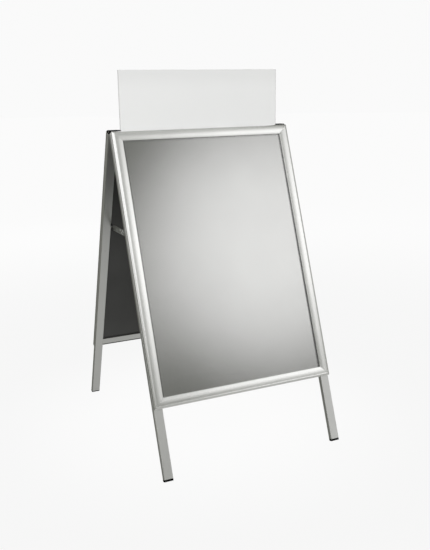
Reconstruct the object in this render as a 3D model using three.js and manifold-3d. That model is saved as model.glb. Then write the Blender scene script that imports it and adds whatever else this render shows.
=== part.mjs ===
// A-board (sandwich board) for A1 posters: two leaning snap frames on tube legs, hinged at
// the top, held apart by two folding stays, with a slide-in header panel between the frames.
// Millimetres, +Z up, front towards -Y, origin on the floor at the middle of the footprint.

import * as THREE from "three";
import { mergeVertices } from "three/addons/utils/BufferGeometryUtils.js";
import Module from "manifold-3d";

const wasm = await Module();
wasm.setup();

// ---------------------------------------------------------------- driving dimensions

const GAP = 0.3; // air left between pieces that touch
const LEAN = THREE.MathUtils.degToRad(20.4); // each half leans this far from upright

// snap frame for an A1 poster
const FRAME_W = 640;
const FRAME_H = 887;
const FRAME_DEPTH = 15; // crown of the snap rail to the back of the base rail
const RAIL_W = 33; // outer edge to inner lip
const SKIN = 1.3; // wall of the snap rail
const BASE_INNER = 30; // inner edge of the base rail, seen from behind
const BASE_WALL = 1.4;
const BASE_OUTER = 0.8; // outer edge of the base rail, under the snap rail's socket
const BASE_ROUND = 3; // round on the base rail's outer back edge
const SKIRT_V = -9.6; // top of the base rail's outer wall
const POST = [6.6, 7.9]; // faces of the base rail's post, which carries the bead
const LEDGE_V = -9.4; // front of the ledge that the back panel lies on
const LEDGE_T = 1.2;
const LIP_V = -6.9; // lower edge of the snap rail's lip
const PANEL_T = 1;
const PANEL_INSET = 21.5;
const COVER_T = 0.5;
const BEAD = { u: 2.9, v: -6.0, r: 1.3 }; // bead that the snap rail swings on
const SOCKET_R = 2.9; // outer radius of the snap rail's socket round the bead
const RAIL_SWING = THREE.MathUtils.degToRad(95);

// legs
const LEG_W = 30;
const LEG_D = 15;
const LEG_WALL = 1.5;
const LEG_R = 1.5;
const STAND = 1110; // top edge of the frame to the end of the foot, along the slope
const FOOT_FLANGE = 6.5;
const SOLE_LIFT = 2; // height that the level sole takes off the foot's lowest corner
const PLUG_LEN = 25;

// top hinge
const BACK_GAP = 0.5; // leg back to the fold plane, so folded legs are twice this apart
const TOP_DROP = 6; // fold axis to the top edge of the frame
const CAP_T = 2;
const KNUCKLE_R = 5.7;
const KNUCKLE_CLEAR = 6.1;
const KNUCKLE_L = 9;
const PIN_R = 2;
const PIN_HEAD = { r: 3.4, t: 0.9 };

// header panel and the ears that hold it
const HEADER_W = 571;
const HEADER_T = 3;
const HEADER_Y = -13.3;
const HEADER_RISE = 191.5; // fold axis to the top of the header
const HEADER_SINK = 23.7; // fold axis to the bottom of the header
const EAR_W = 5.9;
const EAR_LEN = 28; // how far the ear hangs below the leg's cap
const EAR_BACK = 0.8; // fold plane to the back of the ear
const SLOT_DEPTH = 2.1;

// folding stays
const STAY_DROP = 358; // fold axis to the stay pivots, along the slope
const STAY_W = 20;
const STAY_T = 2;
const STAY_X = 285; // outer face of the rear link
const RIVET_R = 3;
const RIVET_HEAD_R = 5;
const RIVET_HEAD_T = 1.8;
const RIVET_TAIL = { r: 4.5, t: 1.2 };
const SPACER_R = 5;

// corner keys inside the base rails
const KEY_ARM = 55;
const KEY_IN = 9;
const KEY_OUT = 18;
const KEY_T = 1.5;

// ---------------------------------------------------------------- derived dimensions

const CROWN_N = BACK_GAP + LEG_D + GAP + FRAME_DEPTH; // fold plane to the crown
const LEG_FRONT_N = BACK_GAP + LEG_D;
const LEG_MID_N = BACK_GAP + LEG_D / 2;
const LEG_X = FRAME_W / 2 - LEG_W / 2;
const LEG_INNER_X = FRAME_W / 2 - LEG_W;
const AXIS_Z = (TOP_DROP + STAND) * Math.cos(LEAN) - BACK_GAP * Math.sin(LEAN) - SOLE_LIFT;
const PIVOT_Y = STAY_DROP * Math.sin(LEAN) + LEG_MID_N * Math.cos(LEAN);
const STAY_LEN = PIVOT_Y; // pivot to knee, straight when the board is open
const LINK_X = { rear: STAY_X - STAY_T, front: STAY_X - 2 * STAY_T - GAP };

// ---------------------------------------------------------------- materials

const finish = (color, roughness, metalness) => ({ color, roughness, metalness });
const FINISHES = {
  rail: finish(0xc9cac8, 0.32, 0.9),
  leg: finish(0x9a9b97, 0.45, 0.8),
  panel: finish(0x8d8e8c, 0.4, 0.6),
  cover: finish(0xdfe4e4, 0.15, 0.0),
  black: finish(0x141414, 0.6, 0.0),
  steel: finish(0x6d6e6b, 0.4, 0.9),
  header: finish(0xe6e7e5, 0.5, 0.0),
};

function named(name, geometry, slot) {
  const mesh = new THREE.Mesh(closed(geometry), new THREE.MeshStandardMaterial(FINISHES[slot]));
  mesh.name = name;
  return mesh;
}

// ---------------------------------------------------------------- solid helpers

// Keeps only positions, merges them, and turns the faces outward.
function closed(geometry) {
  const bare = geometry.clone();
  for (const name of Object.keys(bare.attributes)) {
    if (name !== "position") bare.deleteAttribute(name);
  }
  const merged = mergeVertices(bare, 1e-3);
  const p = merged.attributes.position;
  const index = merged.index.array;
  const [a, b, c] = [new THREE.Vector3(), new THREE.Vector3(), new THREE.Vector3()];
  let volume = 0;
  for (let i = 0; i < index.length; i += 3) {
    a.fromBufferAttribute(p, index[i]);
    b.fromBufferAttribute(p, index[i + 1]);
    c.fromBufferAttribute(p, index[i + 2]);
    volume += a.dot(b.cross(c));
  }
  if (volume < 0) {
    for (let i = 0; i < index.length; i += 3) {
      [index[i + 1], index[i + 2]] = [index[i + 2], index[i + 1]];
    }
  }
  return merged;
}

function toSolid(geometry) {
  const bare = closed(geometry);
  return new wasm.Manifold(
    new wasm.Mesh({
      numProp: 3,
      vertProperties: new Float32Array(bare.attributes.position.array),
      triVerts: new Uint32Array(bare.index.array),
    }),
  );
}

function toGeometry(solid) {
  const mesh = solid.getMesh();
  const geometry = new THREE.BufferGeometry();
  geometry.setAttribute("position", new THREE.BufferAttribute(mesh.vertProperties, 3));
  geometry.setIndex(new THREE.BufferAttribute(mesh.triVerts, 1));
  return geometry;
}

const join = (...parts) => toGeometry(parts.map(toSolid).reduce((sum, part) => sum.add(part)));
const cut = (base, ...tools) => {
  return toGeometry(tools.map(toSolid).reduce((left, tool) => left.subtract(tool), toSolid(base)));
};

// Cylinder along X between x0 and x1, centred on (y, z).
function rodX(radius, x0, x1, y = 0, z = 0, sides = 24) {
  const rod = new THREE.CylinderGeometry(radius, radius, Math.abs(x1 - x0), sides);
  return rod.rotateZ(Math.PI / 2).translate((x0 + x1) / 2, y, z);
}

function box(x0, x1, y0, y1, z0, z1) {
  const size = new THREE.BoxGeometry(x1 - x0, y1 - y0, z1 - z0);
  return size.translate((x0 + x1) / 2, (y0 + y1) / 2, (z0 + z1) / 2);
}

// Outline in (y, z) pulled along X between x0 and x1.
function slabX(outline, x0, x1) {
  const slab = new THREE.ExtrudeGeometry(outline, {
    depth: x1 - x0,
    bevelEnabled: false,
    curveSegments: 10,
  });
  return slab.rotateX(Math.PI / 2).rotateZ(Math.PI / 2).translate(x0, 0, 0);
}

function polygon(points) {
  return new THREE.Shape(points.map(([x, y]) => new THREE.Vector2(x, y)));
}

function roundedRect(w, d, r) {
  const shape = new THREE.Shape();
  const [x, y] = [w / 2 - r, d / 2 - r];
  shape.absarc(x, y, r, 0, Math.PI / 2);
  shape.absarc(-x, y, r, Math.PI / 2, Math.PI);
  shape.absarc(-x, -y, r, Math.PI, Math.PI * 1.5);
  shape.absarc(x, -y, r, Math.PI * 1.5, Math.PI * 2);
  return shape;
}

// Prism of an (x, y) section between drops u0 and u1 below the fold axis.
function prismDown(section, x, n, u0, u1) {
  const prism = new THREE.ExtrudeGeometry(section, {
    depth: u1 - u0,
    bevelEnabled: false,
    curveSegments: 3,
  });
  return prism.translate(x, -n, -u1);
}

// ---------------------------------------------------------------- frame rails

// Sections use u, from the outer edge inwards, and v, from the crown (0) to the back.

function baseSection() {
  const back = -FRAME_DEPTH;
  const floor = back + BASE_WALL;
  const neck = 0.6;
  const start = -Math.asin(neck / BEAD.r);
  const s = polygon([
    [BASE_OUTER + BASE_ROUND, back],
    [BASE_INNER, back],
    [BASE_INNER, LEDGE_V],
    [PANEL_INSET - 0.5, LEDGE_V],
    [PANEL_INSET - 0.5, LEDGE_V - LEDGE_T],
    [BASE_INNER - BASE_WALL, LEDGE_V - LEDGE_T],
    [BASE_INNER - BASE_WALL, floor],
    [POST[1], floor],
    [POST[1], BEAD.v + neck],
    [BEAD.u + BEAD.r * Math.cos(start), BEAD.v + neck],
  ]);
  s.absarc(BEAD.u, BEAD.v, BEAD.r, -start, 2 * Math.PI + start);
  s.lineTo(POST[0], BEAD.v - neck);
  s.lineTo(POST[0], floor);
  s.lineTo(BASE_OUTER + BASE_ROUND, floor);
  const heel = [BASE_OUTER + BASE_ROUND, back + BASE_ROUND];
  s.absarc(...heel, BASE_ROUND - BASE_WALL, -Math.PI / 2, -Math.PI, true);
  s.lineTo(BASE_OUTER + BASE_WALL, SKIRT_V);
  s.lineTo(BASE_OUTER, SKIRT_V);
  s.absarc(...heel, BASE_ROUND, -Math.PI, -Math.PI / 2, false);
  return s;
}

function snapSection() {
  const deg = THREE.MathUtils.degToRad;
  const onSocket = (radius, angle) => [
    BEAD.u + radius * Math.cos(deg(angle)),
    BEAD.v + radius * Math.sin(deg(angle)),
  ];
  const crown = 15; // where the section is highest
  const lip = -1.5; // how far it has dropped at the lip
  const shoulder = 9; // where the crown's arc meets the round outer edge
  const hook = [16, 17]; // faces of the rib that the leaf springs push on
  const hookEnd = -5.2;
  const reach = RAIL_W - crown;
  const arc = (reach * reach + lip * lip) / (2 * -lip);
  const inner = arc - SKIN;
  const swept = (u, radius) => Math.acos((u - crown) / radius);
  const slope = (crown - shoulder) / arc;
  const shoulderV = -(arc - Math.sqrt(arc * arc - (crown - shoulder) ** 2));
  const bore = BEAD.r + GAP;
  const s = new THREE.Shape();
  s.moveTo(...onSocket(bore, 232));
  s.absarc(BEAD.u, BEAD.v, SOCKET_R, deg(232), deg(130), true);
  s.bezierCurveTo(3, -2.1, shoulder - 3, shoulderV - 3 * slope, shoulder, shoulderV);
  s.absarc(crown, -arc, arc, swept(shoulder, arc), swept(RAIL_W, arc), true);
  s.lineTo(RAIL_W, LIP_V);
  s.lineTo(RAIL_W - SKIN, LIP_V);
  s.absarc(crown, -arc, inner, swept(RAIL_W - SKIN, inner), swept(hook[1], inner), false);
  s.lineTo(hook[1], hookEnd);
  s.lineTo(hook[0], hookEnd);
  s.absarc(crown, -arc, inner, swept(hook[0], inner), deg(90), false);
  s.bezierCurveTo(9.5, -SKIN, 6.4, -1.9, ...onSocket(SOCKET_R, 50));
  s.absarc(BEAD.u, BEAD.v, SOCKET_R, deg(50), deg(35), true);
  s.absarc(BEAD.u, BEAD.v, bore, deg(35), deg(232), false);
  return s;
}

// How far from the corner a section point has to stop: at the 45 degree mitre for a fixed
// rail, and for a swinging one at the furthest in that its swing about the bead takes it.
const mitreFixed = (u) => u + GAP / 2;
function mitreSwinging(u, v) {
  const r = Math.hypot(u - BEAD.u, v - BEAD.v);
  const from = Math.atan2(v - BEAD.v, u - BEAD.u);
  const to = from + RAIL_SWING;
  const passesInward = from < 0 && to > 0;
  const most = passesInward ? 1 : Math.max(Math.cos(from), Math.cos(to));
  return BEAD.u + r * most + GAP / 2;
}

// A rail of outer length `length` along X, its outer edge at z = 0 and its section below.
function rail(section, length, mitre) {
  const bar = new THREE.ExtrudeGeometry(section, {
    depth: 1,
    bevelEnabled: false,
    curveSegments: 6,
  });
  const p = bar.attributes.position;
  for (let i = 0; i < p.count; i++) {
    const [u, v, end] = [p.getX(i), p.getY(i), p.getZ(i)];
    const reach = length / 2 - mitre(u, v);
    p.setXYZ(i, end < 0.5 ? -reach : reach, -(CROWN_N + v), -u);
  }
  return bar;
}

// ---------------------------------------------------------------- pieces of one half

// Every half is built upright with its fold axis at the origin: z down the slope is negative,
// and the poster side faces -Y.

function legTube(side) {
  const outer = roundedRect(LEG_W, LEG_D, LEG_R);
  const hollow = roundedRect(LEG_W - 2 * LEG_WALL, LEG_D - 2 * LEG_WALL, 0.6);
  outer.holes.push(hollow);
  const top = TOP_DROP + CAP_T + GAP;
  const bottom = TOP_DROP + STAND - FOOT_FLANGE - GAP;
  const tube = prismDown(outer, side * LEG_X, LEG_MID_N, top, bottom);
  const [near, far] = [LEG_INNER_X - 1, LEG_INNER_X + LEG_WALL + 1];
  const drill = rodX(RIVET_R + GAP, side * near, side * far, -LEG_MID_N, -STAY_DROP);
  return cut(tube, drill);
}

function foot(side) {
  const end = TOP_DROP + STAND;
  const flange = prismDown(
    roundedRect(LEG_W, LEG_D, LEG_R), side * LEG_X, LEG_MID_N, end - FOOT_FLANGE, end,
  );
  const plug = plugInTube(side, end - FOOT_FLANGE - PLUG_LEN, end - FOOT_FLANGE + 1);
  const floor = box(-FRAME_W, FRAME_W, -FRAME_W, FRAME_W, -100, 0);
  floor.translate(0, 0, -AXIS_Z).rotateX(LEAN);
  return cut(join(flange, plug), floor);
}

function plugInTube(side, u0, u1) {
  const slack = 2 * (LEG_WALL + GAP);
  const section = roundedRect(LEG_W - slack, LEG_D - slack, 0.6);
  return prismDown(section, side * LEG_X, LEG_MID_N, u0, u1);
}

// Knuckle spans along X from the outer end of the hinge inwards.
function knuckleSpans(side) {
  const outer = FRAME_W / 2 - PIN_HEAD.t - GAP;
  const split = [outer, outer - KNUCKLE_L, LEG_INNER_X + KNUCKLE_L, LEG_INNER_X];
  const span = (from, to) => [side * from, side * to].sort((a, b) => a - b);
  return {
    ends: [span(split[0], split[1]), span(split[2], split[3])],
    middle: [span(split[1] - GAP, split[2] + GAP)],
  };
}

// Outline of a hinge leaf's body above the leg, in (y, z) of the standing board.
function leafOutline(topFlat, shoulder) {
  const inSlope = (n, u) => [
    -(u * Math.sin(LEAN) + n * Math.cos(LEAN)),
    -u * Math.cos(LEAN) + n * Math.sin(LEAN),
  ];
  return [
    [-0.4, topFlat],
    shoulder,
    [-16.3, Math.min(shoulder[1], topFlat) - 1.3],
    inSlope(LEG_FRONT_N, TOP_DROP + CAP_T / 2),
    inSlope(BACK_GAP, TOP_DROP + CAP_T / 2),
    inSlope(BACK_GAP, 0),
  ];
}

// Leaf of the top hinge: a plug in the leg, a cap, a body and knuckles round the fold axis.
function hingeLeaf(side, isFront) {
  const spans = knuckleSpans(side);
  const [own, other] = isFront ? [spans.ends, spans.middle] : [spans.middle, spans.ends];
  const inner = isFront ? LEG_INNER_X - GAP - EAR_W : LEG_INNER_X;
  const [x0, x1] = [side * inner, side * (FRAME_W / 2)].sort((a, b) => a - b);
  const outline = leafOutline(5.5, isFront ? [-15, 5.5] : [-8, 5.5]);
  const body = slabX(polygon(outline), x0, x1).rotateX(LEAN);
  const cap = prismDown(
    roundedRect(LEG_W, LEG_D, LEG_R), side * LEG_X, LEG_MID_N, TOP_DROP, TOP_DROP + CAP_T,
  );
  const plug = plugInTube(side, TOP_DROP + CAP_T - 1, TOP_DROP + CAP_T + PLUG_LEN);
  const knuckles = own.map(([from, to]) => rodX(KNUCKLE_R, from, to));
  const clearances = other.map(([from, to]) => rodX(KNUCKLE_CLEAR, from - GAP, to + GAP));
  const headSeat = side * (FRAME_W / 2 - PIN_HEAD.t - GAP);
  clearances.push(rodX(KNUCKLE_CLEAR, headSeat, side * (FRAME_W / 2 + 1)));
  const bore = rodX(PIN_R + GAP, side * (inner - 1), side * (FRAME_W / 2 + 1));
  const shell = cut(join(body, cap, plug), ...clearances);
  if (!isFront) return cut(join(shell, ...knuckles), bore);
  return cut(join(shell, headerEar(side), ...knuckles), bore, headerSlot(side));
}

// Ear beside the leg's inner face that the header's end drops into.
function headerEar(side) {
  const top = TOP_DROP - 2;
  const outline = polygon([
    [-LEG_FRONT_N, -top],
    [-LEG_FRONT_N, -top - EAR_LEN],
    [-EAR_BACK, -top - EAR_LEN],
    [-EAR_BACK, -top],
  ]);
  const [x0, x1] = [LEG_INNER_X - GAP - EAR_W, LEG_INNER_X - GAP];
  return slabX(outline, ...[side * x0, side * x1].sort((a, b) => a - b));
}

function headerSlot(side) {
  const face = LEG_INNER_X - GAP - EAR_W;
  const [x0, x1] = [side * (face - 1), side * (face + SLOT_DEPTH)].sort((a, b) => a - b);
  const half = HEADER_T / 2 + GAP;
  const slot = box(x0, x1, HEADER_Y - half, HEADER_Y + half, -HEADER_SINK - GAP, 40);
  return slot.rotateX(LEAN);
}

function hingePin(side) {
  const end = FRAME_W / 2;
  const shank = rodX(PIN_R, side * (LEG_INNER_X + 0.5), side * (end - PIN_HEAD.t / 2));
  return join(shank, rodX(PIN_HEAD.r, side * (end - PIN_HEAD.t), side * end));
}

function cornerKey() {
  const arm = KEY_ARM;
  const bracket = polygon([
    [KEY_IN, KEY_IN],
    [arm, KEY_IN],
    [arm, KEY_OUT],
    [KEY_OUT, KEY_OUT],
    [KEY_OUT, arm],
    [KEY_IN, arm],
  ]);
  const plate = new THREE.ExtrudeGeometry(bracket, { depth: KEY_T, bevelEnabled: false });
  const back = CROWN_N - FRAME_DEPTH + BASE_WALL + GAP;
  return plate.rotateX(Math.PI / 2).translate(0, -back, 0);
}

// Flat sheet held in the frame, with its back at v = back.
function sheet(inset, back, thickness) {
  const [w, h] = [FRAME_W / 2 - inset, FRAME_H / 2 - inset];
  return box(-w, w, -(CROWN_N + back + thickness), -(CROWN_N + back), -h, h);
}

const RAILS = [
  { where: "top", turn: 0, length: FRAME_W, out: FRAME_H / 2 },
  { where: "right", turn: Math.PI / 2, length: FRAME_H, out: FRAME_W / 2 },
  { where: "bottom", turn: Math.PI, length: FRAME_W, out: FRAME_H / 2 },
  { where: "left", turn: -Math.PI / 2, length: FRAME_H, out: FRAME_W / 2 },
];

// Names of left and right are as seen from the front of the board, for both halves.
function worldSide(half, where) {
  if (half === "front") return where;
  return { left: "right", right: "left" }[where] ?? where;
}

function snapFrame(half) {
  const frame = new THREE.Group();
  frame.position.z = -(TOP_DROP + FRAME_H / 2);
  for (const { where, turn, length, out } of RAILS) {
    const place = worldSide(half, where);
    const base = rail(baseSection(), length, mitreFixed);
    const snap = rail(snapSection(), length, mitreSwinging);
    for (const [kind, geometry] of [["base", base], ["snap", snap]]) {
      const mesh = named(`${half}_${kind}_rail_${place}`, geometry, "rail");
      mesh.geometry.translate(0, 0, out);
      mesh.rotation.y = turn;
      frame.add(mesh);
    }
  }
  for (const [up, side] of [[1, -1], [1, 1], [-1, 1], [-1, -1]]) {
    const key = cornerKey().scale(-side, 1, -up);
    key.translate((side * FRAME_W) / 2, 0, (up * FRAME_H) / 2);
    const place = worldSide(half, side < 0 ? "left" : "right");
    frame.add(named(`${half}_corner_key_${up > 0 ? "top" : "bottom"}_${place}`, key, "steel"));
  }
  const panelBack = LEDGE_V + GAP;
  const coverBack = panelBack + PANEL_T + GAP;
  frame.add(named(`${half}_back_panel`, sheet(PANEL_INSET, panelBack, PANEL_T), "panel"));
  frame.add(named(`${half}_cover_sheet`, sheet(PANEL_INSET + 0.5, coverBack, COVER_T), "cover"));
  return frame;
}

// ---------------------------------------------------------------- folding stays

// Link from its pivot at the origin to the knee at y = STAY_LEN, in its own X band.
function stayLink(side, near) {
  const outline = new THREE.Shape();
  outline.absarc(0, 0, STAY_W / 2, Math.PI / 2, Math.PI * 1.5);
  outline.absarc(STAY_LEN, 0, STAY_W / 2, -Math.PI / 2, Math.PI / 2);
  for (const y of [0, STAY_LEN]) {
    const hole = new THREE.Path();
    hole.absarc(y, 0, RIVET_R + GAP, 0, 2 * Math.PI, true);
    outline.holes.push(hole);
  }
  const [x0, x1] = [side * near, side * (near + STAY_T)].sort((a, b) => a - b);
  return slabX(outline, x0, x1);
}

// Rivet with its spacer: from inside the leg's wall, through the link, to a head.
function pivotRivet(side, near) {
  const leg = LEG_INNER_X;
  const shank = rodX(RIVET_R, side * (leg + LEG_WALL + 0.5), side * (near - 1));
  const spacer = rodX(SPACER_R, side * (leg - GAP), side * (near + STAY_T + GAP));
  const head = rodX(RIVET_HEAD_R, side * (near - GAP), side * (near - GAP - RIVET_HEAD_T));
  const tail = leg + LEG_WALL + GAP;
  return join(shank, spacer, head, rodX(RIVET_TAIL.r, side * tail, side * (tail + RIVET_TAIL.t)));
}

// The knee's rivet is halved between the links, each half ending inside its own link.
function kneeRivet(side, half, near) {
  const outward = half === "rear";
  const face = outward ? near + STAY_T : near;
  const sign = outward ? 1 : -1;
  const shank = rodX(RIVET_R, side * (face - sign * STAY_T), side * (face + sign));
  const headNear = face + sign * GAP;
  const head = rodX(RIVET_HEAD_R, side * headNear, side * (headNear + sign * RIVET_HEAD_T));
  return join(shank, head).translate(0, STAY_LEN, 0);
}

function stay(half, side) {
  const place = side < 0 ? "left" : "right";
  const near = LINK_X[half];
  const group = new THREE.Group();
  const away = half === "front" ? 1 : -1; // the front link runs towards +Y, the rear one -Y
  const flip = (geometry) => geometry.scale(1, away, 1);
  group.position.set(0, -away * PIVOT_Y, AXIS_Z - STAY_DROP * Math.cos(LEAN));
  group.position.z += LEG_MID_N * Math.sin(LEAN);
  group.add(
    named(`${half}_stay_link_${place}`, flip(stayLink(side, near)), "steel"),
    named(`${half}_stay_pivot_${place}`, flip(pivotRivet(side, near)), "steel"),
    named(`${half}_stay_knee_${place}`, flip(kneeRivet(side, half, near)), "steel"),
  );
  return group;
}

// ---------------------------------------------------------------- assembly

function buildHalf(half) {
  const upright = new THREE.Group();
  upright.add(snapFrame(half));
  for (const side of [-1, 1]) {
    const place = worldSide(half, side < 0 ? "left" : "right");
    upright.add(
      named(`${half}_leg_${place}`, legTube(side), "leg"),
      named(`${half}_foot_${place}`, foot(side), "black"),
      named(`${half}_hinge_leaf_${place}`, hingeLeaf(side, half === "front"), "black"),
    );
    if (half === "front") upright.add(named(`hinge_pin_${place}`, hingePin(side), "steel"));
  }
  upright.rotation.x = -LEAN;
  const placed = new THREE.Group();
  placed.position.z = AXIS_Z;
  placed.rotation.z = half === "front" ? 0 : Math.PI;
  placed.add(upright);
  return placed;
}

const board = new THREE.Group();
for (const half of ["front", "rear"]) {
  board.add(buildHalf(half));
  for (const side of [-1, 1]) board.add(stay(half, side));
}

const [across, through] = [HEADER_W / 2, HEADER_T / 2];
const header = box(-across, across, -through, through, -HEADER_SINK, HEADER_RISE);
board.add(named("header_panel", header.translate(0, HEADER_Y, AXIS_Z), "header"));

export default board;
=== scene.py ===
"""Looks of the A-board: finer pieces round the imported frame, materials, studio light, camera.

Scene units are metres in the CAD's frame: +Z up, front towards -Y. Lengths that repeat a
dimension of the board are in millimetres, and are multiplied by MM.

Each half has an upright frame of its own, with its origin on the hinge axis: X across, -Y out of
the poster face and Z up the slope. There n is the distance in front of the origin and u the
distance down from it. A snap rail's section has u inwards from the frame's outer edge, and v
outwards from the plane that its crown touches.
"""

import math  # noqa: E402

import bmesh  # noqa: E402
import bpy  # noqa: E402
from mathutils import Matrix, Vector  # noqa: E402

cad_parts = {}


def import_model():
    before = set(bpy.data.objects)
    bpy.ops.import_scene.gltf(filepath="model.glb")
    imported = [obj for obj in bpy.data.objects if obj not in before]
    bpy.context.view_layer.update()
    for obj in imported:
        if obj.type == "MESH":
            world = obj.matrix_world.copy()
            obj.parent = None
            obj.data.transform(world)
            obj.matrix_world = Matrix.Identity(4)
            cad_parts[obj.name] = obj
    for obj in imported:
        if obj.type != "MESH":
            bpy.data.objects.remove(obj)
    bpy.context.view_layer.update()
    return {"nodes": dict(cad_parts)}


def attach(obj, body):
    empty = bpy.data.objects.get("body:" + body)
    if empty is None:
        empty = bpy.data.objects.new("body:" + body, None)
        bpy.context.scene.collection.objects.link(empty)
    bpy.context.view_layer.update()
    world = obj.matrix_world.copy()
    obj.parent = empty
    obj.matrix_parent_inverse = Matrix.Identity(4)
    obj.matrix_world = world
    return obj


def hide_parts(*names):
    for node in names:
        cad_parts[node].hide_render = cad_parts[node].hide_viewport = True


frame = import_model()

MM = 0.001

# ------------------------------------------------------------------ dimensions of the board

LEAN = math.radians(20.4)
AXIS_Z = 1043.8324
FRAME_W, FRAME_H = 640.0, 887.0
TOP_DROP = 6.0
CROWN_N = 30.8
RAIL_W = 33.0
SKIN = 1.3
BEAD_U, BEAD_V, BEAD_R = 2.9, -6.0, 1.3
SOCKET_R = 2.9
SWING = math.radians(95)
GAP = 0.3

LEG_X, LEG_W, LEG_WALL, LEG_LENGTH = 305.0, 30.0, 1.5, 1110.0
LEG_BACK_N = 0.5
LEG_INSIDE = LEG_X - LEG_W / 2

HEADER_W, HEADER_T, HEADER_Y = 571.0, 3.0, -13.3
HEADER_LOW, HEADER_HIGH = AXIS_Z - 23.7, AXIS_Z + 191.5
HEADER_ROUND = 1.6

STAY_Y, STAY_Z = 132.287, 711.074
STAY_W, STAY_T = 20.0, 2.0
# X of each link's face away from its leg
LINK_X = {"rear": 283.0, "front": 280.7}
RIVET_R, RIVET_RISE, SHANK_R = 5.0, 1.8, 3.0

# the frame's top and bottom edges, up the slope, as Look.point measures it
SLOPE_TOP = AXIS_Z * math.cos(LEAN) - TOP_DROP
SLOPE_BOTTOM = SLOPE_TOP - FRAME_H

HALVES = ("front", "rear")
# signs of X on each side as seen from the front, and of the way each half faces
SIDES = {"left": -1, "right": 1}
FACING = {"front": 1, "rear": -1}
PLACE = {
    half: Matrix.Translation((0, 0, AXIS_Z * MM))
    @ Matrix.Rotation(turn, 4, "Z")
    @ Matrix.Rotation(-LEAN, 4, "X")
    for half, turn in (("front", 0.0), ("rear", math.pi))
}


# ------------------------------------------------------------------ node helpers


class Nodes:
    """Short ways to add nodes to a node tree."""

    def __init__(self, tree):
        self.tree = tree

    def add(self, kind, settings=None, **inputs):
        """Adds a node. An underscore in an input's name stands for a space."""
        node = self.tree.nodes.new(kind)
        for key, value in (settings or {}).items():
            setattr(node, key, value)
        for key, value in inputs.items():
            self.feed(node.inputs[key.replace("_", " ")], value)
        return node

    def feed(self, socket, value):
        """Links a socket to another one, or sets its value."""
        if isinstance(value, bpy.types.NodeSocket):
            self.tree.links.new(value, socket)
        else:
            socket.default_value = value

    def math(self, operation, a, b=0.0):
        node = self.add("ShaderNodeMath", {"operation": operation})
        self.feed(node.inputs[0], a)
        self.feed(node.inputs[1], b)
        return node.outputs[0]

    def weighted(self, a, a_share, b, b_share):
        """The sum of two values, each times its share."""
        first = self.math("MULTIPLY", a, a_share)
        second = self.math("MULTIPLY", b, b_share)
        return self.math("ADD", first, second)

    def remap(self, value, low, high, to_low, to_high):
        """A smooth step from to_low at low to to_high at high."""
        node = self.add(
            "ShaderNodeMapRange", {"interpolation_type": "SMOOTHSTEP"},
            Value=value, From_Min=low, From_Max=high, To_Min=to_low, To_Max=to_high,
        )
        return node.outputs[0]

    def contrast(self, value):
        """Stretches the middle of a noise's range to 0 to 1."""
        return self.remap(value, 0.3, 0.7, 0, 1)

    def split(self, vector):
        """X, Y and Z of a vector."""
        node = self.add("ShaderNodeSeparateXYZ")
        self.feed(node.inputs[0], vector)
        return tuple(node.outputs)

    def mix(self, factor, first, second):
        """Mixes two colours, each a socket or a grey."""
        node = self.add("ShaderNodeMix", {"data_type": "RGBA"})
        self.feed(node.inputs["Factor"], factor)
        for key, color in (("A", first), ("B", second)):
            is_socket = isinstance(color, bpy.types.NodeSocket)
            self.feed(node.inputs[key], color if is_socket else (*color, 1))
        return node.outputs["Result"]


class Look(Nodes):
    """A material's node tree with its shader."""

    def __init__(self, name):
        self.material = bpy.data.materials.new(name)
        self.material.use_nodes = True
        super().__init__(self.material.node_tree)
        self.shader = self.tree.nodes["Principled BSDF"]

    def point(self, half=None):
        """Object coordinates in metres, turned upright about the world's origin as a half is."""
        out = self.add("ShaderNodeTexCoord").outputs["Object"]
        if half is None:
            return out
        turn = PLACE[half].to_3x3().inverted()
        return self.add("ShaderNodeMapping", Vector=out, Rotation=turn.to_euler()).outputs[0]

    def noise(self, point, scale, detail, roughness=0.5, stretch=(1, 1, 1), offset=0.0):
        shift = (offset, offset * 0.7, -offset)
        mapping = self.add("ShaderNodeMapping", Vector=point, Scale=stretch, Location=shift)
        node = self.add(
            "ShaderNodeTexNoise",
            Vector=mapping.outputs[0], Scale=scale, Detail=detail, Roughness=roughness,
        )
        return node.outputs["Fac"]

    def bump(self, height, strength, distance):
        node = self.add("ShaderNodeBump", Height=height, Strength=strength, Distance=distance)
        self.feed(self.shader.inputs["Normal"], node.outputs[0])

    def set(self, **values):
        """Sets the shader's sockets, and gives the material."""
        for key, value in values.items():
            self.feed(self.shader.inputs[key.replace("_", " ")], value)
        return self.material


def grey(level, warm=0.003):
    return (level * (1 + warm), level * (1 + warm * 0.6), level * (1 - warm))


# ------------------------------------------------------------------ materials

_made = {}


def once(build):
    """Keeps one material for each set of arguments."""

    def wrapped(*args):
        key = (build.__name__, *args)
        if key not in _made:
            _made[key] = build(*args)
        return _made[key]

    return wrapped


# how a grain is drawn out along a bar's axis
ALONG = {"x": (0.004, 1, 1), "z": (1, 1, 0.004)}
# keeps a material's noises apart
NOISE_SHIFT = 7.31
# height of the painted shade along the lowest rail's lower edge: where it is full, and where it
# has faded out
EDGE_SHADE_STRIP = (6.0, 8.0)
# the panel's painted shade under the rails' lips, inwards from the frame's outer edge: where it
# starts and is full
LIP_SHADE_MARGIN = (40.5, 35.2)


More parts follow.
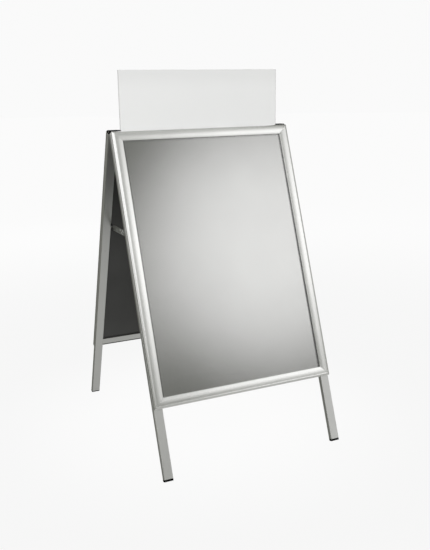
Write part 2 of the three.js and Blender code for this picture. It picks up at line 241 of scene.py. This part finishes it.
@once
def aluminium(axis, half=None, level=0.78, rough=0.3, lowest=False):
    """Satin anodised extrusion: die lines along the bar, a soft cloudiness, faint handling marks.

    The lowest bar of a half has painted shade along its lower edge.
    """
    g = Look(f"aluminium_{axis}_{half}_{level}_{lowest}")
    p = g.point(half)
    lines = g.noise(p, 1800, 2, 0.6, ALONG[axis])
    cloud = g.noise(p, 9, 2, offset=NOISE_SHIFT)
    marks = g.noise(p, 160, 5, 0.65, offset=2 * NOISE_SHIFT)
    mottled = g.contrast(g.weighted(lines, 0.5, cloud, 0.5))
    color = g.mix(mottled, grey(level * 0.97), grey(level * 1.03))
    fine = g.remap(lines, 0.25, 0.75, rough - 0.015, rough + 0.015)
    rubbed = g.remap(marks, 0.66, 0.8, 0, 0.05)
    if lowest:
        # painted shade: darkens the lowest bar's lower edge, standing in for the shadow line under
        # it
        height = g.split(p)[2]
        full, unshaded = ((SLOPE_BOTTOM + up) * MM for up in EDGE_SHADE_STRIP)
        color = g.mix(g.remap(height, full, unshaded, 0.95, 0), color, grey(0.08))
    g.bump(lines, 0.04, 0.00002)
    return g.set(Base_Color=color, Roughness=g.math("ADD", fine, rubbed), Metallic=1.0)


@once
def panel_sheet(half):
    """Satin metal sheet with a faint rolled grain: pale to the poster side, dark coated behind.

    Painted shade darkens it in a narrow margin under the rails' lips.
    """
    g = Look(f"panel_{half}")
    p = g.point(half)
    grain = g.noise(p, 700, 3, 0.6, (1, 1, 0.03))
    cloud = g.noise(p, 5, 2, offset=NOISE_SHIFT)
    speck = g.noise(p, 1500, 2)
    front = g.mix(g.contrast(g.weighted(grain, 0.4, cloud, 0.6)), grey(0.56), grey(0.59))
    behind = g.mix(g.contrast(cloud), grey(0.072), grey(0.092))
    facing = g.split(g.add("ShaderNodeTexCoord").outputs["Normal"])[1]
    is_back = g.math("GREATER_THAN", g.math("MULTIPLY", facing, FACING[half]), 0.0)
    # painted shade: a darker margin along the sides and top, standing in for the shade under the
    # rails' lips
    across, _, height = g.split(p)
    starts, full = ((FRAME_W / 2 - inwards) * MM for inwards in LIP_SHADE_MARGIN)
    at_side = g.remap(g.math("ABSOLUTE", across), starts, full, 0, 1)
    starts, full = ((SLOPE_TOP - inwards) * MM for inwards in LIP_SHADE_MARGIN)
    at_top = g.remap(height, starts, full, 0, 1)
    shaded = g.math("MAXIMUM", g.math("MULTIPLY", at_side, 0.6), g.math("MULTIPLY", at_top, 0.2))
    color = g.mix(shaded, g.mix(is_back, front, behind), grey(0.1))
    metal = g.math("SUBTRACT", 1.0, g.math("MULTIPLY", is_back, 0.8))
    rough = g.math("ADD", g.remap(grain, 0.2, 0.8, 0.11, 0.14), g.math("MULTIPLY", is_back, 0.2))
    g.bump(g.math("ADD", grain, g.math("MULTIPLY", speck, 0.5)), 0.08, 0.00005)
    return g.set(Base_Color=color, Roughness=rough, Metallic=metal)


@once
def clear_film():
    """Clear anti-glare film with a fine frosted grain."""
    g = Look("clear_film")
    p = g.point()
    frost = g.noise(p, 2500, 2)
    haze = g.noise(p, 6, 3, offset=NOISE_SHIFT)
    g.bump(frost, 0.1, 0.00003)
    color = g.mix(haze, grey(0.8), grey(0.9))
    return g.set(Base_Color=color, Roughness=g.remap(haze, 0.3, 0.7, 0.3, 0.38), Alpha=0.02)


@once
def black_moulding():
    """Black moulded plastic with a fine spark-eroded grain and slightly greyed high spots."""
    g = Look("black_moulding")
    p = g.point()
    grain = g.noise(p, 1400, 2, 0.55)
    dust = g.noise(p, 90, 5, 0.7, offset=NOISE_SHIFT)
    color = g.mix(g.remap(dust, 0.5, 0.75, 0, 1), grey(0.004), grey(0.009))
    rough = g.remap(dust, 0.3, 0.7, 0.5, 0.65)
    g.bump(grain, 0.35, 0.00012)
    return g.set(Base_Color=color, Roughness=rough, Specular_IOR_Level=0.04)


@once
def zinc(level=0.4, metal=1.0):
    """Zinc plated steel: fine pressed grain and patchy brightness."""
    g = Look(f"zinc_{level}_{metal}")
    p = g.point()
    grain = g.noise(p, 1100, 3, 0.6, (1, 0.08, 1))
    patch = g.noise(p, 60, 4, 0.6, offset=NOISE_SHIFT)
    color = g.mix(g.contrast(patch), grey(level * 0.8), grey(level * 1.15))
    g.bump(grain, 0.15, 0.00005)
    return g.set(Base_Color=color, Roughness=g.remap(patch, 0.3, 0.7, 0.28, 0.42), Metallic=metal)


@once
def header_board():
    """Off-white satin board, faintly pebbled, with painted shade greying it a little at its ends
    and towards its top.
    """
    g = Look("header_board")
    p = g.point()
    pebble = g.noise(p, 1300, 2)
    cloud = g.noise(p, 7, 3, offset=NOISE_SHIFT)
    across, _, height = g.split(p)
    end = HEADER_W / 2
    at_end = g.remap(g.math("ABSOLUTE", across), (end - 4) * MM, (end - 0.5) * MM, 0, 1)
    at_top = g.remap(height, (HEADER_HIGH - 71.5) * MM, (HEADER_HIGH - 0.5) * MM, 0, 1)
    face = g.mix(cloud, grey(0.82, -0.004), grey(0.85, -0.004))
    # painted shade: greys the board's ends and its top
    color = g.mix(g.weighted(at_end, 0.35, at_top, 0.12), face, grey(0.45))
    g.bump(pebble, 0.1, 0.00005)
    return g.set(Base_Color=color, Roughness=g.remap(cloud, 0.3, 0.7, 0.42, 0.5))


# ------------------------------------------------------------------ mesh helpers


def in_scene(name, data):
    """A new object in the scene."""
    obj = bpy.data.objects.new(name, data)
    bpy.context.scene.collection.objects.link(obj)
    return obj


def piece(name, verts, faces, place, body, mat, slot, bevel=0.0, segments=2, angle=30):
    """A mesh in its own frame (millimetres), placed by `place` (metres) and riding on `body`."""
    mesh = bpy.data.meshes.new(name)
    mesh.from_pydata([[c * MM for c in v] for v in verts], [], faces)
    mesh.validate()
    bm = bmesh.new()
    bm.from_mesh(mesh)
    bmesh.ops.remove_doubles(bm, verts=bm.verts, dist=1e-6)
    bmesh.ops.recalc_face_normals(bm, faces=bm.faces)
    bm.to_mesh(mesh)
    bm.free()
    obj = in_scene(name, mesh)
    obj.matrix_world = place
    mesh.materials.append(mat)
    finish_edges(obj, bevel, segments, angle)
    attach(obj, body)
    return obj


def finish_edges(obj, bevel, segments=2, angle=30, dissolve=False):
    """Softens the corners of a piece with modifiers, and shades its curved faces smoothly."""
    mesh = obj.data
    mesh.polygons.foreach_set("use_smooth", [True] * len(mesh.polygons))
    mesh.set_sharp_from_angle(angle=math.radians(angle))
    if dissolve:
        flat = obj.modifiers.new("merge_flats", "DECIMATE")
        flat.decimate_type = "DISSOLVE"
        flat.angle_limit = math.radians(1.0)
    if bevel:
        soft = obj.modifiers.new("soft_edges", "BEVEL")
        soft.width = bevel * MM
        soft.segments = segments
        soft.limit_method = "ANGLE"
        soft.angle_limit = math.radians(angle)
        soft.harden_normals = True
        soft.use_clamp_overlap = True


def loft(rings):
    """Verts and faces of a closed body through rings of equal count, each a loop of points."""
    count = len(rings[0])
    last = (len(rings) - 1) * count
    verts = [point for ring in rings for point in ring]
    faces = []
    for low in range(0, last, count):
        high = low + count
        for i in range(count):
            j = (i + 1) % count
            faces.append((low + i, low + j, high + j, high + i))
    faces.append(tuple(range(count))[::-1])
    faces.append(tuple(last + i for i in range(count)))
    return verts, faces


def merge(parts):
    """Joins the verts and faces of several parts."""
    verts, faces = [], []
    for part_verts, part_faces in parts:
        base = len(verts)
        verts += part_verts
        faces += [tuple(base + i for i in face) for face in part_faces]
    return verts, faces


def turned(profile, sides=32):
    """Turns (x, radius) pairs about X into a closed body."""
    rings = []
    for x, r in profile:
        ring = []
        for i in range(sides):
            a = 2 * math.pi * i / sides
            ring.append((x, r * math.cos(a), r * math.sin(a)))
        rings.append(ring)
    return loft(rings)


def shifted(part, dx, dy, dz):
    verts, faces = part
    return [(x + dx, y + dy, z + dz) for x, y, z in verts], faces


def mirrored(part, sx, sy):
    verts, faces = part
    return [(x * sx, y * sy, z) for x, y, z in verts], faces


def arc(cx, cy, r, start, end, steps):
    """Points of an arc from one angle to another, in radians."""
    for i in range(steps + 1):
        a = start + (end - start) * i / steps
        yield (cx + r * math.cos(a), cy + r * math.sin(a))


def bezier(a, b, c, d, steps):
    """Points of a cubic curve, without its first one."""
    for i in range(1, steps + 1):
        t = i / steps
        k = ((1 - t) ** 3, 3 * t * (1 - t) ** 2, 3 * t * t * (1 - t), t**3)
        yield tuple(sum(w * p[axis] for w, p in zip(k, (a, b, c, d))) for axis in (0, 1))


# ------------------------------------------------------------------ snap rails


def snap_section():
    """The snap rail's section, with its lip and hook rounded."""
    crown, shoulder = 15.0, 9.0
    lip_top, lip_foot, lip_round = -1.5, -6.9, 0.8
    hook_out, hook_in, hook_foot, hook_round = 16.0, 17.0, -5.2, 0.2
    radius = ((RAIL_W - crown) ** 2 + lip_top**2) / (2 * -lip_top)
    inner = radius - SKIN

    def on_socket(degrees):
        a = math.radians(degrees)
        return (BEAD_U + SOCKET_R * math.cos(a), BEAD_V + SOCKET_R * math.sin(a))

    def round_bead(r, start, end, steps):
        return list(arc(BEAD_U, BEAD_V, r, math.radians(start), math.radians(end), steps))

    def on_arch(u, r=radius):
        return math.acos((u - crown) / r)

    def height(u):
        return math.sqrt(radius**2 - (u - crown) ** 2) - radius

    # outside: the socket, its neck up to the shoulder, the arch, and the rounded lip
    round_u = RAIL_W - lip_round
    down = 3 * (crown - shoulder) / radius
    points = round_bead(SOCKET_R, 228, 130, 14)
    points += bezier(
        points[-1], (3.0, -2.1), (shoulder - 3, height(shoulder) - down),
        (shoulder, height(shoulder)), 16,
    )
    points += list(arc(crown, -radius, radius, on_arch(shoulder), on_arch(round_u), 24))[1:]
    points += arc(round_u, height(round_u) - lip_round, lip_round, math.radians(70), 0, 6)
    points += arc(RAIL_W - SKIN / 2, lip_foot + SKIN / 2, SKIN / 2, 0, -math.pi, 8)
    # inside: under the arch, the hook, the neck, and the bore that turns on the bead
    lip_inside, hook_side = on_arch(RAIL_W - SKIN, inner), on_arch(hook_in, inner)
    points += arc(crown, -radius, inner, lip_inside, hook_side, 8)
    points += [
        (hook_in, hook_foot + hook_round), (hook_in - hook_round, hook_foot),
        (hook_out + hook_round, hook_foot), (hook_out, hook_foot + hook_round),
    ]
    points += arc(crown, -radius, inner, on_arch(hook_out, inner), math.pi / 2, 2)
    points += bezier((crown, -SKIN), (9.5, -SKIN), (6.4, -1.9), on_socket(50), 10)
    points += round_bead(BEAD_R + GAP, 38, 228, 20)
    return points


def mitre(u, v):
    """How far from the corner a point of the section stops, clear of its neighbour's swing."""
    r = math.hypot(u - BEAD_U, v - BEAD_V)
    start = math.atan2(v - BEAD_V, u - BEAD_U)
    end = start + SWING
    most = 1.0 if start < 0 < end else max(math.cos(start), math.cos(end))
    round_the_bead = r < SOCKET_R + 0.1
    return BEAD_U + r * most + (GAP if round_the_bead else GAP / 2)


# a leaf spring's curve across the rail, between its skirt and its hook
SPRING_CURVE = ((8.3, -6.3), (9.2, -2.6), (13.2, -2.2), (15.7, -4.7))
SPRING_T = 0.45
# a leaf spring's ends along the rail, and how far they are bent down
SPRING_ENDS = ((-17, 0.12), (-15.5, 0), (15.5, 0), (17, 0.12))
# the springs' places along a rail, as shares of its length
SPRINGS_AT = {FRAME_W: (-0.3, 0.3), FRAME_H: (-0.36, 0, 0.36)}


def leaf_spring(centre):
    """Bent flat spring under a snap rail."""
    top = [SPRING_CURVE[0], *bezier(*SPRING_CURVE, 10)]
    under = [(u, v - SPRING_T) for u, v in reversed(top)]
    rings = []
    for end, pinch in SPRING_ENDS:
        rings.append([(centre + end, -(CROWN_N + v - pinch), -u) for u, v in top + under])
    return loft(rings)


def snap_rails():
    """Rounded covers with their leaf springs, each on its own body."""
    section = snap_section()
    layout = {
        "top": (0.0, FRAME_W, FRAME_H / 2),
        "right": (math.pi / 2, FRAME_H, FRAME_W / 2),
        "bottom": (math.pi, FRAME_W, FRAME_H / 2),
        "left": (-math.pi / 2, FRAME_H, FRAME_W / 2),
    }
    swap = {"left": "right", "right": "left"}
    middle = Matrix.Translation((0, 0, -(TOP_DROP + FRAME_H / 2) * MM))
    for half in HALVES:
        for where, (turn, length, out) in layout.items():
            named = where if half == "front" else swap.get(where, where)
            rings = []
            for end in (-1, 1):
                rings.append([
                    (end * (length / 2 - mitre(u, v)), -(CROWN_N + v), -u) for u, v in section
                ])
            place = PLACE[half] @ middle @ Matrix.Rotation(turn, 4, "Y")
            place = place @ Matrix.Translation((0, 0, out * MM))
            body = f"{half}_snap_{named}"
            rail = piece(
                f"{half}_snap_rail_{named}_skin", *loft(rings), place, body,
                aluminium("x", None, 0.95, 0.255), "rail", bevel=0.22, angle=40,
            )
            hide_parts(f"{half}_snap_rail_{named}")
            springs = merge(leaf_spring(share * length) for share in SPRINGS_AT[length])
            piece(
                f"{half}_snap_springs_{named}", *springs, place, body,
                zinc(0.5), "steel", angle=40,
            )


# ------------------------------------------------------------------ header


def header():
    """Flat board with rounded corners."""
    side, r = HEADER_W / 2 - HEADER_ROUND, HEADER_ROUND
    low, high = HEADER_LOW + r, HEADER_HIGH - r
    outline = []
    for cx, cz, start in ((side, high, 0), (-side, high, 90), (-side, low, 180), (side, low, 270)):
        outline += arc(cx, cz, r, math.radians(start), math.radians(start + 90), 6)
    faces_y = (HEADER_Y - HEADER_T / 2, HEADER_Y + HEADER_T / 2)
    rings = [[(x, y, z) for x, z in outline] for y in faces_y]
    board = piece(
        "header_board", *loft(rings), Matrix.Identity(4), "header",
        header_board(), "header", bevel=0.35, segments=3,
    )
    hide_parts("header_panel")


# ------------------------------------------------------------------ stays

# studs on a link's free side: back from the knee, up, and radius
STUDS = ((38, 3.4, 3.4), (22, -3.9, 3.5), (13, 4.4, 3.0), (12.5, -7.0, 2.2))
# a stud from its seat to its crown: height, and share of its radius
STUD_PROFILE = ((0, 1.0), (0.5, 0.98), (1.1, 0.85), (1.5, 0.58), (1.7, 0.3), (1.75, 0.02))


def rivet_head():
    """Profile of a rivet head from its seat at x = 0 to its crown."""
    rim, steps = 0.3, 5
    profile = [(0, RIVET_R - 0.15), (rim * 0.5, RIVET_R)]
    for i in range(1, steps + 1):
        a = math.pi / 2 * i / steps
        x = rim + (RIVET_RISE - rim) * math.sin(a)
        profile.append((x, max(RIVET_R * math.cos(a), 0.02)))
    return profile


def stay_outline(inset):
    """Outline of a link, from its pivot at y = 0 to its knee."""
    r = STAY_W / 2 - inset
    yield from arc(0, 0, r, math.pi / 2, math.pi * 1.5, 20)
    yield from arc(STAY_Y, 0, r, -math.pi / 2, math.pi / 2, 20)


def pressed_link(half):
    """A link's bar with a raised rim, and the studs on its free side."""
    near, out = LINK_X[half], -FACING[half]
    flat, rim = (near + STAY_T, near) if half == "front" else (near, near + STAY_T)
    web = rim - 0.6 * out
    profile = (
        (flat, 0.4), (flat + 0.2 * out, 0.0), (rim - 0.4 * out, 0.0), (rim - 0.1 * out, 0.15),
        (rim, 0.5), (rim, 1.6), (rim - 0.2 * out, 2.0), (web, 2.6),
    )
    bar = loft([[(x, y, z) for y, z in stay_outline(inset)] for x, inset in profile])
    studs = []
    for back, up, size in STUDS:
        seat = web - 0.1 * out
        stud = turned([(seat + x * out, r * size) for x, r in STUD_PROFILE], 20)
        studs.append(shifted(stud, 0, STAY_Y - back, up))
    return bar, merge(studs)


def knee_rivet(half):
    """Half of the knee's rivet: a head on the link's free side, and the shank through it."""
    near, way = LINK_X[half], -FACING[half]
    seat = near + STAY_T + GAP if half == "rear" else near - GAP
    inner = -way * (STAY_T + GAP)
    profile = [(inner, SHANK_R - 0.2), (inner + way * 0.2, SHANK_R), (-way * 0.05, SHANK_R)]
    profile += [(way * x, r) for x, r in rivet_head()]
    return shifted(turned(profile), seat, STAY_Y, 0)


def pivot_rivet(half):
    """A stay's pivot: its head, the spacer between link and leg, and the tail inside the leg."""
    seat = LINK_X[half] - GAP
    spacer, spacer_end = LINK_X[half] + STAY_T + GAP, LEG_INSIDE - GAP
    tail = LEG_INSIDE + LEG_WALL + GAP
    wide, soft = 5.0, 4.8
    profile = [(seat - x, r) for x, r in reversed(rivet_head())]
    profile += [(seat, SHANK_R), (spacer, SHANK_R), (spacer, soft), (spacer + 0.2, wide)]
    profile += [(spacer_end - 0.2, wide), (spacer_end, soft), (spacer_end, SHANK_R)]
    profile += [(tail, SHANK_R), (tail, 4.5), (tail + 0.9, 4.4), (tail + 1.2, 3.9)]
    return turned(profile)


def stays():
    """The links with their rivets, drawn for the front right and mirrored to the others."""
    for half, facing in FACING.items():
        at = Matrix.Translation((0, -facing * STAY_Y * MM, STAY_Z * MM))
        bar, studs = pressed_link(half)
        for side, sign in SIDES.items():
            swinging = f"{half}_stay_{side}"
            made = piece(
                f"{half}_stay_link_{side}_pressed", *mirrored(bar, sign, facing), at, swinging,
                zinc(0.52), "steel",
            )
            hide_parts(f"{half}_stay_link_{side}")
            piece(
                f"{half}_stay_studs_{side}", *mirrored(studs, sign, facing), at, swinging,
                zinc(0.87, 0.6), "steel",
            )
            made = piece(
                f"{half}_stay_knee_{side}_domed", *mirrored(knee_rivet(half), sign, facing), at,
                swinging, zinc(0.62), "steel",
            )
            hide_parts(f"{half}_stay_knee_{side}")
            made = piece(
                f"{half}_stay_pivot_{side}_domed", *mirrored(pivot_rivet(half), sign, facing), at,
                f"{half}_half", zinc(0.55), "steel", angle=35,
            )
            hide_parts(f"{half}_stay_pivot_{side}")


# ------------------------------------------------------------------ small parts on the legs

# a blind rivet from its foot to the hole in its head: x out of the leg, radius
BLIND_RIVET = (
    (-0.6, 1.2), (-0.6, 2.4), (-0.15, 2.5), (0.08, 2.35), (0.2, 1.7), (0.22, 1.0), (0.02, 0.85),
    (-0.3, 0.02),
)
# the rivets' distances down a leg from the hinge axis
RIVETS_AT = (22, 120, 450, 780, TOP_DROP + LEG_LENGTH - 18)


def leg_rivets():
    """Flat blind rivets in the backs of the legs, which hold the frame and the hinge's plug."""
    verts, faces = turned(BLIND_RIVET, 24)
    for half, facing in FACING.items():
        for side, sign in SIDES.items():
            middle = sign * facing * LEG_X
            heads = []
            for u in RIVETS_AT:
                heads.append(([(middle + y, x - LEG_BACK_N, z - u) for x, y, z in verts], faces))
            piece(
                f"{half}_leg_rivets_{side}", *merge(heads), PLACE[half], f"{half}_half",
                zinc(0.8), "steel", angle=40,
            )


# ------------------------------------------------------------------ carried-over CAD nodes


def dress_cad():
    """Materials and softened edges for the CAD nodes that no finer piece stands for."""
    for name, node in frame["nodes"].items():
        if node.hide_render:
            continue
        first = name.split("_")[0]
        half = first if first in HALVES else None
        if "base_rail" in name:
            axis = "z" if name.endswith(("left", "right")) else "x"
            look, bevel = aluminium(axis, half, 0.78, 0.34, "bottom" in name), 0.2
        elif "_leg_" in name:
            look, bevel = aluminium("z", half, 0.83, 0.36), 0.25
        elif "back_panel" in name:
            look, bevel = panel_sheet(half), 0.1
        elif "cover_sheet" in name:
            look, bevel = clear_film(), 0.0
        elif "foot" in name or "hinge_leaf" in name:
            look, bevel = black_moulding(), 0.5
        else:
            look, bevel = zinc(), 0.25
        node.data.materials.clear()
        node.data.materials.append(look)
        finish_edges(node, bevel, 3 if bevel > 0.3 else 2, dissolve=bevel > 0)


# ------------------------------------------------------------------ studio

# softboxes round the studio: azimuth, elevation, strength, and reach to their faded rim in degrees
GLOWS = (
    (31.5, 24, 1.2, 13),
    (50, 22, 1.05, 14),
    (-1, 31, 1.15, 15),
    (14, 21, 0.2, 9),
    (32, 47, 0.4, 14),
    (31, -3, 1.1, 14.5),
    (25, -20, 0.4, 18),
    (-30, 32, 1.0, 24),
    (-66, 28, 1.0, 24),
    (82, 10, 0.3, 30),
    (60, 60, 0.25, 30),
    (47, -55, 0.4, 30),
    (138, 25, 0.95, 20),
    (178, 26, 0.8, 24),
    (225, 24, 0.7, 30),
    (-128, 12, 0.2, 24),
)
BOX_COLOR = (1.0, 0.997, 1.002, 1)
ROOM_COLOR = (0.99, 1.02, 0.89, 1)
AMBIENT = 0.155
# the room light fades to a tenth straight below: Z of a direction where it is faded, and full
FADE_BELOW = (-0.985, -0.9)

# how brightly the floor and the backdrop glow by themselves
PAPER_GLOW = 0.955
# distances in metres over which painted shade dims the paper, and clears again
DIMS_OVER, CLEARS_OVER = (0.2, 0.9), (1.2, 4.0)
FLOOR_R, BACKDROP_R = 30, 31
FLOOR_Z = -0.0005

FILL_SIZE, FILL_DISTANCE, FILL_ELEVATION = 3.0, 4.0, 25
BOARD_MIDDLE = Vector((0, 0, 0.6))

CAMERA_AT = Vector((-1.0435, -2.3445, 1.1833))
CAMERA_YAW, CAMERA_PITCH, CAMERA_ROLL = 24.98, 14.25, -0.84
CAMERA_LENS = 48.82


def aim(azimuth, elevation):
    """Unit vector towards an azimuth from -Y round to +X, and an elevation, in degrees."""
    a, e = math.radians(azimuth), math.radians(elevation)
    return Vector((math.sin(a) * math.cos(e), -math.cos(a) * math.cos(e), math.sin(e)))


def world():
    """Faint room light all round, and the softboxes, which only their reflections show."""
    made = bpy.data.worlds.new("studio")
    bpy.context.scene.world = made
    made.use_nodes = True
    g = Nodes(made.node_tree)
    where = g.add("ShaderNodeTexCoord").outputs["Generated"]
    room_light = g.remap(g.split(where)[2], *FADE_BELOW, AMBIENT * 0.1, AMBIENT)
    box_light = 0.0
    for azimuth, elevation, strength, reach in GLOWS:
        dot = g.add("ShaderNodeVectorMath", {"operation": "DOT_PRODUCT"})
        g.feed(dot.inputs[0], where)
        g.feed(dot.inputs[1], aim(azimuth, elevation))
        rim = math.cos(math.radians(reach))
        glow = g.remap(dot.outputs["Value"], rim, 1.0, 0.0, strength)
        box_light = g.math("ADD", glow, box_light)
    room = g.add("ShaderNodeBackground", Color=ROOM_COLOR, Strength=room_light)
    boxes = g.tree.nodes["Background"]
    g.feed(boxes.inputs["Color"], BOX_COLOR)
    g.feed(boxes.inputs["Strength"], box_light)
    both = g.add("ShaderNodeAddShader")
    g.feed(both.inputs[0], boxes.outputs[0])
    g.feed(both.inputs[1], room.outputs[0])
    g.feed(g.tree.nodes["World Output"].inputs["Surface"], both.outputs[0])


def fill_light(name, azimuth, power):
    """Large soft lamp that lights matt surfaces and isn't seen in polished ones."""
    lamp = bpy.data.lights.new(name, "AREA")
    lamp.shape = "DISK"
    lamp.size = FILL_SIZE
    lamp.energy = power
    obj = in_scene(name, lamp)
    way = aim(azimuth, FILL_ELEVATION)
    obj.location = way * FILL_DISTANCE + BOARD_MIDDLE
    obj.rotation_mode = "QUATERNION"
    obj.rotation_quaternion = way.to_track_quat("Z", "Y")
    obj.visible_glossy = False
    obj.visible_camera = False


def paper(name, diffuse, dip=0.0):
    """White paper glowing evenly, with painted shade dimming it by `dip` in a wide ring round the
    board.
    """
    g = Look(name)
    length = g.add("ShaderNodeVectorMath", {"operation": "LENGTH"})
    g.feed(length.inputs[0], g.point())
    # painted shade: a dimmer ring of floor round the board
    dimmed = g.remap(length.outputs["Value"], *DIMS_OVER, 0, dip)
    cleared = g.remap(length.outputs["Value"], *CLEARS_OVER, 0, dip)
    tone = g.math("ADD", g.math("SUBTRACT", cleared, dimmed), PAPER_GLOW)
    return g.set(
        Base_Color=(diffuse, diffuse, diffuse, 1), Roughness=0.9, Specular_IOR_Level=0.0,
        Emission_Color=(1, 1, 0.999, 1), Emission_Strength=tone,
    )


def stage_piece(name, bm, look):
    """A piece of the studio, which the camera sees but the board doesn't reflect."""
    mesh = bpy.data.meshes.new(name)
    bm.to_mesh(mesh)
    bm.free()
    mesh.materials.append(look)
    obj = in_scene(name, mesh)
    obj.visible_diffuse = False
    obj.visible_glossy = False
    obj.visible_transmission = False
    return obj


def stage():
    """The floor, just under the feet, and the backdrop all round."""
    bm = bmesh.new()
    bmesh.ops.create_circle(bm, cap_ends=True, segments=96, radius=FLOOR_R)
    floor = stage_piece("floor", bm, paper("floor_paper", 0.02, 0.045))
    floor.location.z = FLOOR_Z
    bm = bmesh.new()
    bmesh.ops.create_icosphere(bm, subdivisions=4, radius=BACKDROP_R)
    dome = stage_piece("backdrop", bm, paper("backdrop_paper", 0.0))
    dome.visible_shadow = False


def camera():
    """The camera in front and to the left of the board, looking down on it."""
    data = bpy.data.cameras.new("camera")
    data.sensor_width = 36
    data.lens = CAMERA_LENS
    data.clip_end = 100
    obj = in_scene("camera", data)
    yaw, pitch, roll = (math.radians(a) for a in (CAMERA_YAW, CAMERA_PITCH, CAMERA_ROLL))
    ahead = Vector((
        math.sin(yaw) * math.cos(pitch), math.cos(yaw) * math.cos(pitch), -math.sin(pitch),
    ))
    level = Vector((math.cos(yaw), -math.sin(yaw), 0))
    upright = level.cross(ahead)
    right = math.cos(roll) * level + math.sin(roll) * upright
    up = math.cos(roll) * upright - math.sin(roll) * level
    turn = Matrix((right, up, -ahead)).transposed()
    obj.matrix_world = Matrix.Translation(CAMERA_AT) @ turn.to_4x4()
    bpy.context.scene.camera = obj


# ------------------------------------------------------------------ run

snap_rails()
header()
stays()
leg_rivets()
dress_cad()
world()
fill_light("front_fill", -10, 98)
fill_light("rear_fill", 170, 80)
stage()
camera()
bpy.context.scene.view_settings.view_transform = "Standard"

bpy.context.view_layer.update()
